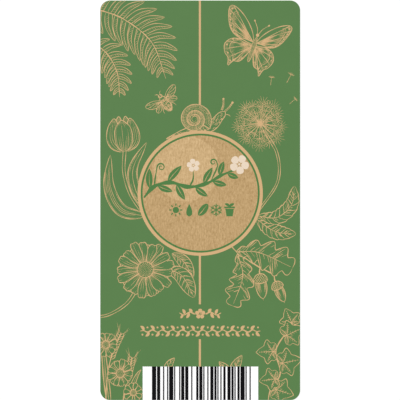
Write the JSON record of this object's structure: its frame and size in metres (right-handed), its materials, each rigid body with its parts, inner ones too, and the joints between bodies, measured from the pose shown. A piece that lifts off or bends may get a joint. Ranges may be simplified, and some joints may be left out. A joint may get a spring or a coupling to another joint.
{
  "type": "plant label",
  "caption": "Flat die-cut card label for a potted plant: a tall sheet with round corners, printed green with leafy line art, a kraft roundel and a bar panel.",
  "frame": {"origin": "middle of the card's underside", "axes": "+Z out of the printed face, +Y towards the label's top edge, +X to the right of the printed face"},
  "size_m": [0.064, 0.128, 0.0005],
  "materials": {
    "printed_card": "satin",
    "card_stock": "matte",
    "tan_ink": "satin",
    "kraft_print": "matte",
    "green_ink": "satin",
    "white_ink": "satin",
    "black_ink": "satin"
  },
  "bodies": {
    "root": {"label_card": "printed_card"}
  },
  "joints": []
}
